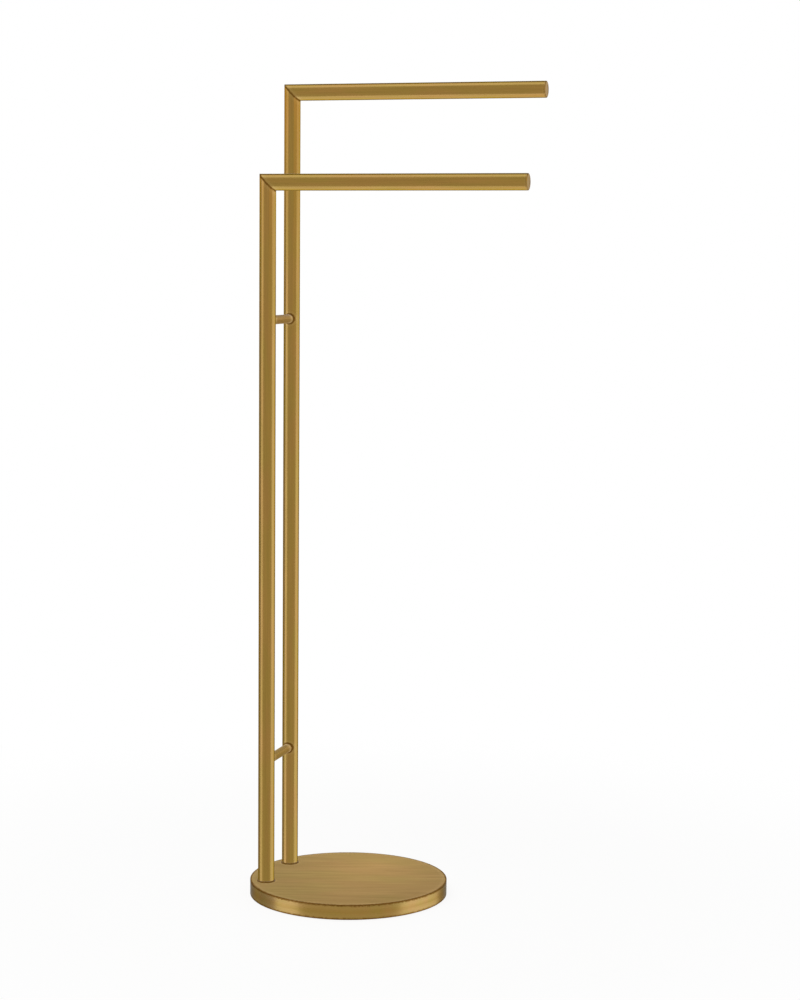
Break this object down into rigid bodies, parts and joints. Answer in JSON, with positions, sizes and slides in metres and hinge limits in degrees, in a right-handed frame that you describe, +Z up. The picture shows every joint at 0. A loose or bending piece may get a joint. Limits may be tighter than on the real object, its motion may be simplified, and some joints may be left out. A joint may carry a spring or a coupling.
{
  "type": "freestanding towel stand",
  "caption": "Freestanding towel stand: L-shaped tube frames at stepped heights, tied by cross rods, on a weighted round base.",
  "frame": {"origin": "middle of the round base, on the floor plane", "axes": "+X along the towel bars towards their free ends, +Y from the low front frame to the tall back frame, +Z up"},
  "size_m": [0.3479, 0.243, 0.993],
  "materials": {
    "aged_brass": "brushed antique brass, darkened in the seams",
    "cast_brass": "as cast",
    "zinc_plated_steel": "zinc plated",
    "cast_iron": "rough cast, black",
    "black_pad": "matt foam rubber",
    "brown_fibre": "matt, dark brown vulcanised fibre"
  },
  "bodies": {
    "root": {"base_cover": "aged_brass", "front_upright": "aged_brass", "back_upright": "aged_brass", "front_towel_bar": "aged_brass", "back_towel_bar": "aged_brass", "front_end_cap": "aged_brass", "back_end_cap": "aged_brass", "upper_cross_rod": "aged_brass", "lower_cross_rod": "aged_brass", "front_corner_insert": "cast_brass", "back_corner_insert": "cast_brass", "front_foot_plug": "zinc_plated_steel", "back_foot_plug": "zinc_plated_steel", "base_bolts": "zinc_plated_steel", "base_washers": "zinc_plated_steel", "base_spring_washers": "zinc_plated_steel", "rod_dowels": "zinc_plated_steel", "base_weight": "cast_iron", "base_pad": "black_pad", "front_foot_gasket": "brown_fibre", "back_foot_gasket": "brown_fibre"}
  },
  "joints": []
}
